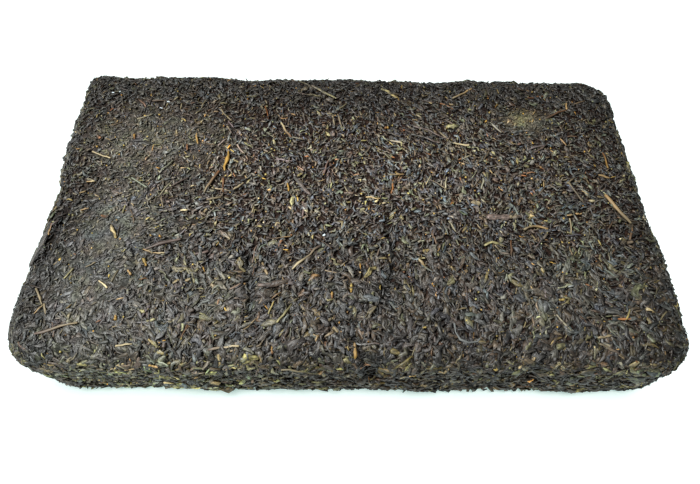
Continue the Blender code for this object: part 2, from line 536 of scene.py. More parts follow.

# %% [markdown]
# ## The core
#
# Between the leaves one looks down on more tea, packed so tight that no single leaf stands free. That is
# the core: the same form, set in a little and covered in fine relief. Two more sets of short waves, one of
# them cut off above so that it makes pits, stand for the imported fines. It is painted nearly black, darker
# than any leaf, as the shade in the gaps between the leaves. Where the brick is worn it comes up to the
# surface and takes the pale blue-grey colour of the pressed paste, its own colour and in part a painted
# sheen. So does its flat base, which was pressed on the mould's floor.

# %% Core
CORE_INSET = 1.6 * MM
CORE_RISES = 0.92
CORE_CLEARANCE = 0.35 * MM
CORE_SPACING = 1.62 * MM
CORE_LUMPS = (28, 4 * MM, 9 * MM, 0.20 * MM, 21)
CORE_PITS = (36, 2.4 * MM, 4.5 * MM, 0.25 * MM, 22)
CORE_PITS_CUT = 0.1 * MM
PASTE_REACH = 1.4
MERGED_DIGITS = 7
# Painted shade: the core is near black for the shade in the gaps between the leaves.
GAP_SHADE_COLOUR = (0.018, 0.009, 0.006)
# The paste's own colour, and in part a painted sheen on the smooth worn places.
PASTE_AND_SHEEN_COLOUR = (0.067, 0.064, 0.0565)


def core_mesh():
    """The six face grids moved onto the form, set in along the normal, with equal points merged."""
    grids, quads, offset = [], [], 0
    for name in FACES:
        grid, across, up = face_grid(name, CORE_SPACING)
        index = offset + np.arange(grid[..., 0].size).reshape(across + 1, up + 1)
        ring = (index[:-1, :-1], index[1:, :-1], index[1:, 1:], index[:-1, 1:])
        quads.append(np.stack(ring, axis=-1).reshape(-1, 4))
        grids.append(grid.reshape(-1, 3))
        offset += index.size
    points, quads = np.concatenate(grids), np.concatenate(quads)
    rounded = np.round(points, MERGED_DIGITS)
    _, first, merged = np.unique(rounded, axis=0, return_index=True, return_inverse=True)
    placed, normals = onto_form(points[first])
    relief = waves(placed, *CORE_LUMPS) + np.minimum(waves(placed, *CORE_PITS), CORE_PITS_CUT)
    inset = CORE_INSET * (1 - CORE_RISES * worn(placed))
    rise = unevenness(placed) - marks(placed) + relief - inset
    share = np.clip(worn(placed) * PASTE_REACH, 0, 1)[:, None]
    tints = (1 - share) * np.array(GAP_SHADE_COLOUR) + share * np.array(PASTE_AND_SHEEN_COLOUR) * tone(placed)
    core = settled(placed + rise[:, None] * normals)
    core[:, 2] = np.maximum(core[:, 2], CORE_CLEARANCE)
    return core, merged.reshape(-1)[quads], tints


core_points, core_quads, core_tints = core_mesh()
core = new_piece("packed_core", core_points, core_quads, np.empty((0, 3), int), core_tints)

# %% [markdown]
# ## Where the leaves lie, and how large they are
#
# Random places would leave bald spots and clumps. A place in each cell of a grid, moved at random inside its
# cell, covers the face evenly and still looks unplanned.
#
# Leaf is coarse to the front, and fine behind the middle and where it was pressed smooth. A table by depth
# holds rows of Y in millimetres and a value. The finer place is a middle, two radii and a factor.

# %% Places and sizes
FLAT_FACE = 0.88
SIZES_BY_DEPTH = ((-101, 1.45), (-55, 1.30), (-30, 0.95), (60, 0.76), (82, 1.05), (101, 1.10))
SIZE_WHERE_WORN = 0.72
FINER = ((-95, 30), (95, 55), 0.84)
SIZE_ON_SIDES = 1.2
WORN_AWAY = 0.2
TRIAL_SPACING = 10


def by_depth(places, table):
    """Reads a table of (Y in millimetres, value) for each place, with straight lines between its rows."""
    depths, values = zip(*table)
    return np.interp(places[:, 1] / MM, depths, values)


def coarseness(places, normals):
    """How large leaves are: on a flat face larger in front and smaller where worn, on a side one size."""
    flat = by_depth(places, SIZES_BY_DEPTH) * (1 - (1 - SIZE_WHERE_WORN) * worn(places))
    middle, radii, size = FINER
    flat *= 1 - (1 - size) * nearness(places, middle, radii)
    return np.where(np.abs(normals[:, 2]) > FLAT_FACE, flat, SIZE_ON_SIDES)


def thinned(places, normals, kept_by_depth, random):
    """Leaves out some places where the brick is worn, and keeps on the top the share for their depth."""
    share = 1 - WORN_AWAY * worn(places)
    share *= np.where(normals[:, 2] > FLAT_FACE, by_depth(places, kept_by_depth), 1)
    kept = random.uniform(size=len(places)) < share
    return places[kept], normals[kept]


def scatter(top, sides, base, random):
    """One random place in each grid cell of every face, moved onto the form. Spacings are in millimetres."""
    spacing = {"top": top, "base": base}
    places = []
    for name in FACES:
        across, up = cells(name, spacing.get(name, sides) * MM)
        cell = np.stack(np.meshgrid(np.arange(across), np.arange(up), indexing="ij"), axis=-1)
        share = (cell.reshape(-1, 2) + random.uniform(size=(across * up, 2))) / (across, up)
        places.append(on_face(name, share[:, 0], share[:, 1]))
    return onto_form(np.concatenate(places))


trial, _ = scatter(TRIAL_SPACING, TRIAL_SPACING, TRIAL_SPACING, np.random.default_rng(0))
print(len(trial), "places at a spacing of", TRIAL_SPACING, "mm")

# %% [markdown]
# ## Which way the leaves point
#
# On the top the leaves lie in swirls and streams, as the tea was raked and pressed. A stream's row holds a
# middle and two radii in millimetres, a direction in radians, and how orderly its leaves lie, from 0 to 1.
# On the sides leaves lie level, because the press squeezed the layers flat.

# %% Directions
FAN = 0.8 / (LENGTH / 2)
SWIRL = (9, 25 * MM, 60 * MM, 0.7, 31)
SWIRL_SPREAD = 0.75
STREAMS = (
    ((-108, -16), (34, 15), -0.3, 0.5),
    ((-110, 40), (35, 22), 0.9, 0.0),
    ((-95, -62), (30, 22), 1.5, 0.0),
    ((-30, -50), (26, 26), 0.8, 0.0),
    ((52, 53), (52, 24), 2.25, 0.85),
    ((60, -50), (60, 30), 1.7, 0.4),
    ((55, 12), (40, 14), 1.5, 0.4),
    ((105, -85), (38, 12), 0.6, 0.7),
    ((-120, -86), (44, 12), 2.75, 0.5),
    ((-152, -48), (22, 26), 1.65, 0.5),
)
SIDE_SPREAD = (1.1, 0.45)


def unit(vectors):
    """The vectors scaled to length 1."""
    return vectors / np.maximum(np.linalg.norm(vectors, axis=-1, keepdims=True), TINY)


def face_axes(normals):
    """Two directions in the face: X and Y on the top and base, level and upright on the sides."""
    level = np.stack([-normals[:, 1], normals[:, 0], np.zeros(len(normals))], axis=1)
    flat = np.abs(normals[:, 2:]) > FLAT_FACE
    first = np.where(flat, np.array([1.0, 0.0, 0.0]), level)
    first = unit(first - (first * normals).sum(axis=1, keepdims=True) * normals)
    return first, np.cross(normals, first)


def headings(places, normals, random):
    """Which way each leaf points in its face.

    On the flat faces it is across the brick, opening like a fan to both ends, plus the swirls and a draw of
    its own. A stream turns it to the stream's own direction, and the more order in it the smaller the draw.
    On the sides it is nearly level.
    """
    count = len(places)
    swirl = math.pi / 2 + FAN * places[:, 0] + waves(places, *SWIRL)
    spread = SWIRL_SPREAD * np.ones(count)
    for middle, radii, direction, order in STREAMS:
        near = nearness(places, middle, radii)
        swirl += near * (direction - swirl)
        spread *= 1 - order * near
    swirl += random.normal(0, 1, count) * spread
    level = random.normal(0, 1, count) * np.interp(places[:, 0], (-HALF_X, HALF_X), SIDE_SPREAD)
    return np.where(np.abs(normals[:, 2]) > FLAT_FACE, swirl, level)


print(len(STREAMS), "streams over a fan of", round(math.degrees(FAN * LENGTH)), "degrees")

# %% [markdown]
# ## The path of a leaf
#
# Each leaf follows a short curved path of a few stations in the plane of the face. The path is drawn onto
# the form, so that a leaf bends over the edges of the brick, and it dips and rises a little on its way. The
# three directions kept at each station, forward, side and up, say how to set an outline there.

# %% Paths
WOBBLE = 0.5
RIPPLE = 0.22 * MM
FOOT_BAND = 7 * MM
SUNK_AT_FOOT = 0.6 * MM


def lay(places, normals, heading, length, bend, lift, tilt, arch, stations, random, wobble=WOBBLE):
    """Paths on the face, with their directions: arrays of leaves by stations by X, Y, Z.

    A path turns evenly by `bend` from end to end, with a small turn of its own in each step. Along it t runs
    from -1 to 1, and it stands off the face by lift + tilt * t - arch * t squared, give or take a little,
    and less towards the foot, which the mould's floor kept clean.
    """
    first, second = face_axes(normals)
    t = np.linspace(-1, 1, stations)
    middle = (t[1:] + t[:-1]) / 4
    turn = heading[:, None] + bend[:, None] * middle + random.normal(0, wobble, (len(places), stations - 1))
    step = (length / (stations - 1))[:, None]
    start = np.zeros((len(places), 1))
    ahead = np.concatenate([start, np.cumsum(np.cos(turn) * step, axis=1)], axis=1)
    aside = np.concatenate([start, np.cumsum(np.sin(turn) * step, axis=1)], axis=1)
    ahead -= ahead.mean(axis=1, keepdims=True)
    aside -= aside.mean(axis=1, keepdims=True)
    flat = places[:, None] + ahead[..., None] * first[:, None] + aside[..., None] * second[:, None]
    spine, up = onto_form(flat.reshape(-1, 3))
    off = lift[:, None] + tilt[:, None] * t - arch[:, None] * t**2
    off = off + random.normal(0, RIPPLE, off.shape)
    low = 1 - np.clip(spine[:, 2] / FOOT_BAND, 0, 1)
    off = off - SUNK_AT_FOOT * low.reshape(off.shape)
    spine = spine + (unevenness(spine) - marks(spine) + off.ravel())[:, None] * up
    spine = spine.reshape(flat.shape)
    up = up.reshape(flat.shape)
    forward = unit(np.gradient(spine, axis=1))
    side = unit(np.cross(up, forward))
    return spine, forward, side, np.cross(forward, side)


print("a path ripples by", round(RIPPLE / MM, 2), "mm and turns by", round(math.degrees(WOBBLE)), "degrees")

# %% [markdown]
# ## From a path to a closed leaf
#
# A leaf is a small closed outline carried along its path, wider in the middle, and drawn to a point at both
# ends. Turning the outline as it goes along makes a rolled leaf catch the light in one place and lose it in
# the next. There are very many leaves, so an outline has only three to five corners and a path two to six
# stations, and smooth shading hides the corners. A random factor on each corner crumples the leaf.

# %% Points and faces of leaves
BASE_CLEARANCE = 0.05 * MM
PROUD_AT_MOST = 1.4 * MM
TO_BOTH_ENDS = np.array([[-1.0], [1.0]])


def leaf_points(path, half_width, half_height, outline, roll, crumple, random):
    """The outline, scaled by half_width and half_height and rolled, at every station, and then two ends.

    A point of the outline is (across, up). With roll angle r it lies at cos(r) * across - sin(r) * up along
    the leaf's side, and at sin(r) * across + cos(r) * up along its upward direction.
    """
    spine, forward, side, up = path
    shape = (*spine.shape[:2], len(outline))
    across = half_width[..., None] * outline[:, 0] * random.normal(1, crumple, shape)
    above = half_height[..., None] * outline[:, 1] * random.normal(1, crumple, shape)
    turned_across = np.cos(roll)[..., None] * across - np.sin(roll)[..., None] * above
    turned_above = np.sin(roll)[..., None] * across + np.cos(roll)[..., None] * above
    rings = (
        spine[:, :, None]
        + turned_across[..., None] * side[:, :, None]
        + turned_above[..., None] * up[:, :, None]
    )
    tips = spine[:, [0, -1]] + forward[:, [0, -1]] * TO_BOTH_ENDS * half_width[:, [0, -1], None]
    points = np.concatenate([rings.reshape(len(spine), -1, 3), tips], axis=1)
    points = settled(points.reshape(-1, 3))
    points[:, 2] = np.clip(points[:, 2], BASE_CLEARANCE, THICKNESS + PROUD_AT_MOST)
    return points


def leaf_faces(count, stations, corners):
    """Faces of `count` leaves: quads between neighbouring outlines, and a fan to the point at each end."""
    ring = np.arange(corners)
    following = (ring + 1) % corners
    row = np.arange(stations - 1)[:, None] * corners
    quads = np.stack([row + ring, row + following, row + corners + following, row + corners + ring], axis=-1)
    last = (stations - 1) * corners
    start = np.full(corners, stations * corners)
    fans = [
        np.stack([following, ring, start], axis=-1),
        np.stack([last + ring, last + following, start + 1], axis=-1),
    ]
    shift = (np.arange(count) * (stations * corners + 2))[:, None, None]
    return (quads.reshape(-1, 4) + shift).reshape(-1, 4), (np.concatenate(fans) + shift).reshape(-1, 3)


quads, triangles = leaf_faces(1, 3, 3)
print("a leaf of 3 stations and 3 corners has", 2 * len(quads) + len(triangles), "triangles")

# %% [markdown]
# ## What each point of a leaf carries
#
# A finish that runs along the leaf has to know where on the leaf it is. So every point keeps its real
# millimetres along and round the leaf, shifted at random so that no two leaves are wrinkled alike. It keeps
# its colour too, a little lighter or darker from station to station and from corner to corner, since a
# leaf's ridges and ends rub pale.

# %% Leaf builder
CRUMPLE = 0.35
MAP_SHIFT = 500
SHADE_SPREAD = 0.16
SHADE_RANGE = (0.6, 1.5)
END_SHADES = (0.8, 1.35)


def leaf_map(spine, half_width, corners, random):
    """Millimetres along each leaf and round it, plus a random shift of its own for each leaf.

    Along the leaf they run up to the length of its path, and round it to four times its half width.
    """
    count, stations = spine.shape[:2]
    run = np.linalg.norm(np.diff(spine, axis=1), axis=2).sum(axis=1)[:, None] / MM
    girth = half_width.mean(axis=1)[:, None] * 4 / MM
    along = np.repeat(np.linspace(0, 1, stations), corners) * run
    around = np.tile(np.linspace(0, 1, corners), stations) * girth
    along = np.concatenate([along, 0 * run, run], axis=1)
    around = np.concatenate([around, girth / 2, girth / 2], axis=1)
    return np.stack([along, around], axis=-1) + random.uniform(0, MAP_SHIFT, (count, 1, 2))


def leaf_shades(tints, count, stations, corners, random):
    """Tints, one for each leaf or each of its stations, times factors for station, corner and end."""
    shade = random.normal(1, SHADE_SPREAD, (count, stations, 1, 1))
    shade = shade * random.normal(1, SHADE_SPREAD, (count, 1, corners, 1))
    tints = np.broadcast_to(tints.reshape(count, -1, 3), (count, stations, 3))
    shaded = tints[:, :, None] * np.clip(shade, *SHADE_RANGE)
    ends = tints[:, [0, -1]] * random.uniform(*END_SHADES, (count, 2, 1))
    return np.concatenate([shaded.reshape(count, -1, 3), ends], axis=1)


def leaves(name, path, half_width, half_height, outline, roll, tints, random, crumple=CRUMPLE):
    """One piece of closed leaves, from their paths, an outline and a tint for each."""
    spine = path[0]
    shape = (*spine.shape[:2], len(outline))
    points = leaf_points(path, half_width, half_height, outline, roll, crumple, random)
    along_leaf = leaf_map(spine, half_width, len(outline), random)
    colours = leaf_shades(tints, *shape, random)
    return new_piece(name, points, *leaf_faces(*shape), colours.reshape(-1, 3), along_leaf.reshape(-1, 2))


print("ends of a leaf are", END_SHADES[0], "to", END_SHADES[1], "times as bright as its middle")

# %% [markdown]
# ## A colour for each leaf
#
# Each leaf draws a colour from a mix, and a draw of brightness and warmth on top, because two leaves of one
# batch never match. A mix gives each colour's share. The draws spread wider on the sides, where torn edges
# show, and to the front, where the leaf is coarse. A place's tone, with the light and shade painted into it,
# counts less for pale colours, so it changes dark leaf most and hardly changes pale stems.

# %% Drawing colours
SIDE_MIX = {"charcoal": 24, "soot": 32, "moss": 18, "olive": 8, "drab": 18, "umber": 8}
SIDES_OF_THEIR_OWN = 0.8
DRAW_REACH = 1.7
WARMTH_SPREAD = 0.14
WARMER = (0.85, 0.05, -1.10)
MORE_ON_SIDES = (1.5, 2.7)
PALE = 0.2
TONE_ON_PALE = 0.4
SPREAD_BY_DEPTH = ((-90, 1.7), (-50, 1.4), (0, 0.7), (60, 0.2))


def drawn_from(mix, count, random):
    """A colour for each leaf, drawn from a mix: a share for each colour name."""
    shares = np.array(list(mix.values()))
    palette = np.array([COLOURS[name] for name in mix])
    return palette[random.choice(len(mix), count, p=shares / shares.sum())]


def draw_tints(places, normals, mix, spread, random):
    """Colours drawn from the mix, or on most of the sides from the sides' own mix, then varied and toned.

    The tone is raised to a power that falls from 1 for black to TONE_ON_PALE for a pale colour.
    """
    drawn = drawn_from(mix, len(places), random)
    on_side = np.abs(normals[:, 2]) < FLAT_FACE
    own = on_side & (random.uniform(size=len(places)) < SIDES_OF_THEIR_OWN)
    drawn = np.where(own[:, None], drawn_from(SIDE_MIX, len(places), random), drawn)
    draws = random.uniform(-DRAW_REACH, DRAW_REACH, (2, len(places), 1))
    warmth = draws[0] * WARMTH_SPREAD * np.array(WARMER)
    brightness = draws[1] * spread
    more = np.interp(places[:, 0], (-HALF_X, HALF_X), MORE_ON_SIDES)
    brightness *= np.where(on_side, more, by_depth(places, SPREAD_BY_DEPTH))[:, None]
    pale = np.clip(drawn.mean(axis=1, keepdims=True) / PALE, 0, 1)
    power = 1 - (1 - TONE_ON_PALE) * pale**2
    return drawn * np.exp(warmth + brightness) * tone(places) ** power


print("warmest leaf, times", np.round(np.exp(WARMTH_SPREAD * DRAW_REACH * np.array(WARMER)), 2))


# %% [markdown]
# ## How deep a leaf lies
#
# Each leaf also draws how far it stands off the face or lies below it. Deep leaves are painted darker and
# redder and high ones paler, as shade and light, since only light that came off other leaves reaches the deep
# ones; that painted shade is where the black between the leaves comes from. Leaves in cracks and pits are
# painted darker too, for the shade in them. Where the brick is worn, leaves come up level, get thinner and
# take on the paste's colour.

# %% Width and depth
LIFT = (-1.3 * MM, 0.2 * MM)
WIDTH_SPREAD = 0.22
WIDTH_RANGE = (0.5, 1.6)
# Painted shade for deep leaves and in cracks and pits, painted light for high ones.
SHADE_AT_BOTTOM = (0.56, 0.41, 0.36)
SHADE_AT_TOP = (1.21, 1.29, 1.29)
PAINTED_SHADE_IN_MARKS = 0.8
DEEP_MARK = 2.0 * MM


def swell(count, stations, fullness, random):
    """Width along a leaf: 1 in the middle, falling off as the square of the way to the ends, and uneven."""
    t = np.linspace(-1, 1, stations)
    uneven = random.normal(1, WIDTH_SPREAD, (count, stations)).clip(*WIDTH_RANGE)
    return (1 - (1 - fullness) * t**2) * uneven


def depth_shade(places, lift, smooth):
    """A factor for each colour channel.

    Painted shade: a blend from the lowest lift to the highest, faded out where smooth, darker in marks.
    """
    share = ((lift - LIFT[0]) / (LIFT[1] - LIFT[0]))[:, None]
    shade = (1 - share) * np.array(SHADE_AT_BOTTOM) + share * np.array(SHADE_AT_TOP)
    shade += (1 - shade) * smooth[:, None]
    return shade * (1 - PAINTED_SHADE_IN_MARKS * np.clip(marks(places) / DEEP_MARK, 0, 1)[:, None])


print("leaves lie from", round(LIFT[0] / MM, 1), "to", round(LIFT[1] / MM, 1), "mm off the face")

# %% [markdown]
# ## A piece of leaf strips
#
# Six kinds of leaf and the flakes and twists are all strips along a path, and differ only in their outline
# and their sizes. So one function draws all that a strip needs and hands it to the leaf builder. A seed of
# its own for each kind keeps the others as they are when one kind is changed.

# %% Strips
LEAF_MIX = {"charcoal": 53, "soot": 14, "umber": 13, "slate": 14, "olive": 6, "drab": 2.5, "tan": 0.3}
LEAF_SPREAD = 0.22
LEAF_ROLL = 0.25
TILT = 0.40 * MM
ARCH = (-0.1 * MM, 0.4 * MM)
DEEPER_ON_SIDES = 1.3
FULLNESS = 0.62
FLAT_WHERE_WORN = 0.9
THIN_WHERE_WORN = 0.6
PASTED = 0.55
EVERYWHERE = ((0, 1.0),)


def strips(
    name, seed, outline, spacing, length, width, height, bend, stations,
    mix=LEAF_MIX, roll=LEAF_ROLL, kept=EVERYWHERE,
):
    """One piece of leaf strips.

    Spacing is for top, sides and base. Length and width are ranges in millimetres, height a range in shares
    of half the width, and bend and roll the spread of two angles in radians.
    """
    random = np.random.default_rng(seed)
    places, normals = thinned(*scatter(*spacing, random), kept, random)
    count = len(places)
    size = coarseness(places, normals) * MM
    smooth = worn(places)
    lift = random.uniform(*LIFT, count)
    path = lay(
        places,
        normals,
        headings(places, normals, random),
        length=random.uniform(*length, count) * size,
        bend=random.normal(0, bend, count),
        lift=lift * (1 - FLAT_WHERE_WORN * smooth) * np.where(normals[:, 2] < FLAT_FACE, DEEPER_ON_SIDES, 1),
        tilt=random.normal(0, TILT, count) * (1 - smooth),
        arch=random.uniform(*ARCH, count),
        stations=stations,
        random=random,
    )
    half = (random.uniform(*width, count) / 2 * size)[:, None] * swell(count, stations, FULLNESS, random)
    thick = half * random.uniform(*height, (count, 1)) * (1 - THIN_WHERE_WORN * smooth[:, None])
    turned = random.normal(0, roll, (count, 1))
    turned = turned + random.normal(0, roll, (count, 1)) * np.linspace(-1, 1, stations)
    tints = draw_tints(places, normals, mix, LEAF_SPREAD, random) * depth_shade(places, lift, smooth)
    tints += PASTED * smooth[:, None] * (np.array(PASTE_AND_SHEEN_COLOUR) * tone(places) - tints)
    return leaves(name, path, half, thick, outline, turned, tints, random)


print("leaf colours", list(LEAF_MIX))

# %% [markdown]
# ## Rolled, pressed and folded leaves
#
# Most of the brick is leaf that was rolled before it was pressed. Thin rolls keep a single ridge. The press
# flattens wider ones, and folds the widest into a strip with two ridges and a furrow between them. Chips and
# short bits are what broke off, and curled leaves are long rolls that bent. Curled and folded leaves lie
# mostly to the front, where there are fewer chips.

# %% Rolled, pressed and folded leaves
ONE_RIDGE = np.array([[-1.0, -0.4], [1.0, -0.4], [0.12, 0.9]])
FLATTENED = np.array([[-1.0, -0.5], [1.0, -0.5], [0.6, 0.75], [-0.65, 0.9]])
TWO_RIDGES = np.array([[-1.0, -0.5], [1.0, -0.4], [0.62, 0.8], [0.02, 0.1], [-0.55, 0.9]])
MOST_IN_FRONT = ((-48, 1.0), (-25, 0.3), (70, 0.3), (85, 0.8))
LEAST_IN_FRONT = ((-55, 0.5), (-30, 1.0))

rolled = strips(
    "rolled_leaves", seed=101, outline=ONE_RIDGE, spacing=(4.4, 5, 12),
    length=(3, 6.5), width=(0.9, 1.6), height=(0.7, 1.1), bend=1.0, stations=3,
)
pressed = strips(
    "pressed_leaves", seed=102, outline=FLATTENED, spacing=(4.8, 5.6, 11),
    length=(3, 6), width=(1.5, 2.4), height=(0.35, 0.6), bend=0.8, stations=3,
)
chips = strips(
    "small_chips", seed=112, outline=FLATTENED, spacing=(3.1, 4.1, 9),
    length=(2.0, 4.2), width=(1.4, 2.5), height=(0.35, 0.65), bend=0.5, stations=2, kept=LEAST_IN_FRONT,
)
short = strips(
    "short_bits", seed=111, outline=ONE_RIDGE, spacing=(3.1, 4, 10),
    length=(1.4, 3.2), width=(0.8, 1.5), height=(0.7, 1.1), bend=0.6, stations=2,
)
curled = strips(
    "curled_leaves", seed=109, outline=ONE_RIDGE, spacing=(4.5, 8, 14),
    length=(4, 8), width=(0.9, 1.5), height=(0.8, 1.2), bend=2.4, stations=5, kept=MOST_IN_FRONT,
)
folded = strips(
    "folded_leaves", seed=110, outline=TWO_RIDGES, spacing=(6.5, 9, 14),
    length=(4.5, 8.5), width=(1.7, 2.9), height=(0.5, 0.8), bend=1.1, stations=4, kept=MOST_IN_FRONT,
)

# %% [markdown]
# ## Flat flakes
#
# Torn pieces of unrolled leaf lie flat and wide. They are thin, so their outline is a low arch.

# %% Flakes
ARCHED = np.array([[-1.0, -0.3], [1.0, -0.1], [0.42, 0.9], [-0.38, 1.0]])
FLAKE_MIX = {"charcoal": 42, "slate": 24, "umber": 18, "olive": 10, "drab": 4, "tan": 0.5}
flakes = strips(
    "flat_flakes", seed=103, outline=ARCHED, spacing=(6.5, 8, 13),
    length=(3, 5.5), width=(1.8, 3.2), height=(0.15, 0.25), bend=0.4, stations=3, mix=FLAKE_MIX,
)

# %% [markdown]
# ## Wiry twists
#
# Young leaf rolls into wires under a millimetre thick that hook and curl. These need more stations, because
# their bend is strong enough to show, and they turn about themselves more than a broad strip does.

# %% Twists
TWIST_MIX = {"charcoal": 32, "umber": 24, "slate": 18, "olive": 12, "drab": 11, "tan": 3}
twists = strips(
    "wiry_twists", seed=104, outline=ONE_RIDGE, spacing=(11, 12, 22),
    length=(5, 10), width=(0.5, 0.9), height=(0.8, 1.1), bend=1.8, stations=6, mix=TWIST_MIX, roll=0.9,
)

# %% [markdown]
# ## Crumbs and golden specks
#
# Dust and small broken bits fill the spaces, and the yellow grains of the bloom that fu tea is known for sit
# among them. A crumb is one ring of four points between two ends, the least closed shape there is.

# %% Crumbs
SQUARE = np.array([[-1.0, 0.0], [0.0, -1.0], [1.0, 0.0], [0.0, 1.0]])
CRUMB_WIDTHS = (0.35, 0.85)
CRUMB_HEIGHTS = (0.4, 0.8)


def crumbs(name, seed, spacing, size, lift, mix, spread):
    """Small closed bits, each one ring drawn to a point at both ends. The lift is in millimetres."""
    random = np.random.default_rng(seed)
    places, normals = scatter(*spacing, random)
    count = len(places)
    along = random.uniform(*size, count)
    still = np.zeros(count)
    heading = random.uniform(0, 2 * np.pi, count)
    rise = random.uniform(*lift, count) * MM
    spine, forward, side, up = lay(
        places, normals, heading, length=along, bend=still, lift=rise, tilt=still, arch=still,
        stations=2, random=random,
    )
    middle = (spine.mean(axis=1, keepdims=True), forward[:, :1], side[:, :1], up[:, :1])
    half = along[:, None] / 2 * random.uniform(*CRUMB_WIDTHS, (count, 1))
    roll = random.uniform(0, 2 * np.pi, (count, 1))
    tints = draw_tints(places, normals, mix, spread, random)
    height = half * random.uniform(*CRUMB_HEIGHTS, (count, 1))
    return leaves(name, middle, half, height, SQUARE, roll, tints, random)


CRUMB_MIX = {"charcoal": 26, "umber": 22, "slate": 14, "olive": 16, "drab": 14, "tan": 7, "straw": 1}
bits = crumbs(
    "crumbs", seed=105, spacing=(4, 5, 10),
    size=(0.7 * MM, 1.5 * MM), lift=(-0.8, 0.2), mix=CRUMB_MIX, spread=0.4,
)
SPECK_MIX = {"gold": 6, "straw": 1, "hay": 5, "honey": 2, "amber": 2, "rust": 1}
bloom = crumbs(
    "golden_specks", seed=106, spacing=(8, 9, 14),
    size=(0.9 * MM, 2.4 * MM), lift=(-0.3, 0.3), mix=SPECK_MIX, spread=0.35,
)

# %% [markdown]
# ## Stems and tips
#
# Here and there lies a piece of stem, woody and round, from dark brown to honey, and the tips of young buds,
# which turn golden. Stems are stiff, so they bend little and lie on top of the mat.

# %% Scattered stems and tips
ROUND_CORNERS = 2 * np.pi * np.arange(5) / 5
ROUND = np.stack([np.cos(ROUND_CORNERS), np.sin(ROUND_CORNERS)], axis=1)
STEM_MIX = {"umber": 34, "mauve": 26, "drab": 18, "tan": 16, "rust": 6}
TIP_MIX = {"tan": 26, "honey": 12, "gold": 12, "hay": 16, "rust": 12, "amber": 6, "olive": 18}
STIFF_WOBBLE = 0.12
STIFF_CRUMPLE = 0.15
STICK_STATIONS = 4
STICK_ASTRAY = 0.8
STICK_TILT = 0.25
STICK_ARCH = (0, 0.3)
STICK_SPREAD = 0.30
STICK_HEIGHT = 0.8


def sticks(name, seed, spacing, length, width, bend, lift, mix, fullness):
    """Round sticks drawn in towards both ends, lying on the mat."""
    random = np.random.default_rng(seed)
    places, normals = scatter(*spacing, random)
    count = len(places)
    path = lay(
        places,
        normals,
        headings(places, normals, random) + random.normal(0, STICK_ASTRAY, count),
        length=random.uniform(*length, count),
        bend=random.normal(0, bend, count),
        lift=random.uniform(*lift, count) * MM,
        tilt=random.normal(0, STICK_TILT, count) * MM,
        arch=random.uniform(*STICK_ARCH, count) * MM,
        stations=STICK_STATIONS,
        random=random,
        wobble=STIFF_WOBBLE,
    )
    half = random.uniform(*width, count)[:, None] / 2 * swell(count, STICK_STATIONS, fullness, random)
    roll = random.uniform(0, 2 * np.pi, (count, 1)) + np.zeros((1, STICK_STATIONS))
    tints = draw_tints(places, normals, mix, STICK_SPREAD, random)
    return leaves(name, path, half, half * STICK_HEIGHT, ROUND, roll, tints, random, STIFF_CRUMPLE)


stems = sticks(
    "stems", seed=107, spacing=(20, 22, 30), length=(5 * MM, 11 * MM), width=(0.7 * MM, 1.3 * MM),
    bend=0.25, lift=(-0.3, 0.3), mix=STEM_MIX, fullness=0.8,
)
tips = sticks(
    "bud_tips", seed=108, spacing=(13.5, 16, 25), length=(2 * MM, 4 * MM), width=(0.6 * MM, 1.1 * MM),
    bend=0.6, lift=(-0.3, 0.3), mix=TIP_MIX, fullness=0.5,
)
